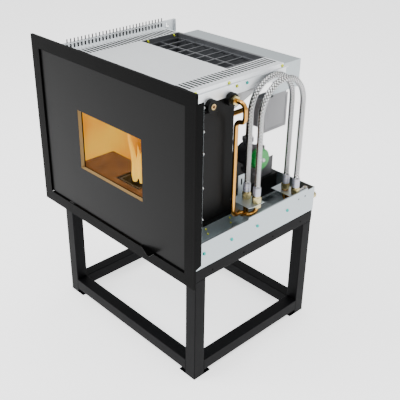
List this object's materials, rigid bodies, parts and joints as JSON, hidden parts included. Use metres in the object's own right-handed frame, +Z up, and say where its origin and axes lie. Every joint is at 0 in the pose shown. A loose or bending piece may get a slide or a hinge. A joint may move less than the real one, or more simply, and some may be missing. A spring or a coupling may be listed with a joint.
{
  "type": "pellet boiler insert",
  "caption": "Hydronic pellet fireplace insert on a steel stand: black surround, glass door, boiler and hopper that slide forward on telescopic rails.",
  "frame": {"origin": "on the floor, under the middle of the overall box", "axes": "+X to the right seen from the front, +Y to the back, +Z up"},
  "size_m": [0.8, 0.672, 1.037],
  "materials": {
    "stand_black": "satin black powder coat",
    "zinc": "bright zinc plated sheet",
    "zinc_deck": "galvanised sheet, matt",
    "brass": "machined",
    "copper": "bare copper pipe",
    "braid": "stainless wire braid",
    "surround_black": "satin black powder coat",
    "front_steel": "matt black stove paint",
    "door_black": "black enamelled glass",
    "glass": "heat-resistant glass",
    "jacket_black": "satin black paint",
    "cast_iron": "raw casting",
    "hopper_steel": "dark sheet steel",
    "auger_steel": "bare steel",
    "motor_grey": "grey paint",
    "pump_green": "moulded",
    "pump_iron": "painted casting"
  },
  "bodies": {
    "base": {"drain_valve": "brass", "hose_flow": "braid", "hose_plate_rear": "zinc", "hose_return": "braid", "rail_fixed": "zinc", "rear_unions": "brass", "stand_leg_front_left": "stand_black", "stand_leg_front_right": "stand_black", "stand_leg_rear_left": "stand_black", "stand_leg_rear_right": "stand_black", "stand_low_rails": "stand_black", "stand_top_rails_cross": "stand_black", "stand_top_rails_side": "stand_black", "system_pipes": "copper", "tray_floor": "zinc", "tray_sides": "zinc"},
    "rails_middle": {"rail_middle_left": "zinc", "rail_middle_right": "zinc"},
    "door": {"door_panel": "door_black", "door_frame": "front_steel", "door_window": "glass"},
    "latch_lever": {"latch_lever": "surround_black"},
    "auger": {"auger": "auger_steel"},
    "smoke_impeller": {"smoke_impeller": "auger_steel"},
    "drain_lever": {"drain_lever": "auger_steel"},
    "insert": {"auger_tube": "hopper_steel", "burn_pot": "cast_iron", "carriage": "zinc", "control_box": "motor_grey", "deck_front": "zinc_deck", "equipment_shelf": "jacket_black", "firebox_base": "jacket_black", "firebox_liner": "cast_iron", "front_plate": "front_steel", "front_unions": "brass", "gear_motor": "motor_grey", "hopper": "hopper_steel", "hopper_grid": "hopper_steel", "hose_plate_front": "zinc", "jacket_back": "jacket_black", "jacket_feet": "zinc", "jacket_left": "jacket_black", "jacket_pipe": "copper", "jacket_right": "jacket_black", "jacket_top": "jacket_black", "port_fittings": "brass", "pump_body": "pump_iron", "pump_head": "pump_green", "pump_pipes": "copper", "rail_inner": "zinc", "rear_cover": "zinc", "side_panel_left": "zinc_deck", "side_panel_right": "zinc_deck", "smoke_fan": "jacket_black", "surround_bottom": "surround_black", "surround_left": "surround_black", "surround_right": "surround_black", "surround_top": "surround_black", "vent_strip_left": "zinc_deck", "vent_strip_right": "zinc_deck"}
  },
  "joints": [
    {"name": "insert_slide", "type": "slide", "parent": "base", "child": "insert", "axis": [0, -1, 0], "range_m": [0, 0.3], "deforming": ["hose_flow", "hose_return"]},
    {"name": "rails_slide", "type": "slide", "parent": "base", "child": "rails_middle", "axis": [0, -1, 0], "range_m": [0, 0.15]},
    {"name": "door_hinge", "type": "hinge", "parent": "insert", "child": "door", "pos_m": [-0.346, -0.301, 0.726], "axis": [0, 0, -1], "range_deg": [0, 90]},
    {"name": "latch_pivot", "type": "hinge", "parent": "door", "child": "latch_lever", "pos_m": [0.165, -0.296, 0.4596], "axis": [0, 0, -1], "range_deg": [0, 30]},
    {"name": "auger_turn", "type": "hinge", "parent": "insert", "child": "auger", "pos_m": [0, 0.176, 0.65], "axis": [0, -0.766, 0.6428], "continuous": true},
    {"name": "impeller_turn", "type": "hinge", "parent": "insert", "child": "smoke_impeller", "pos_m": [-0.1825, 0.086, 0.625], "axis": [1, 0, 0], "continuous": true},
    {"name": "drain_turn", "type": "hinge", "parent": "base", "child": "drain_lever", "pos_m": [0.337, 0.282, 0.53], "axis": [0, 0, -1], "range_deg": [0, 90]}
  ],
  "couplings": [
    {"joint": "rails_slide", "follows": "insert_slide", "ratio": 0.5}
  ]
}
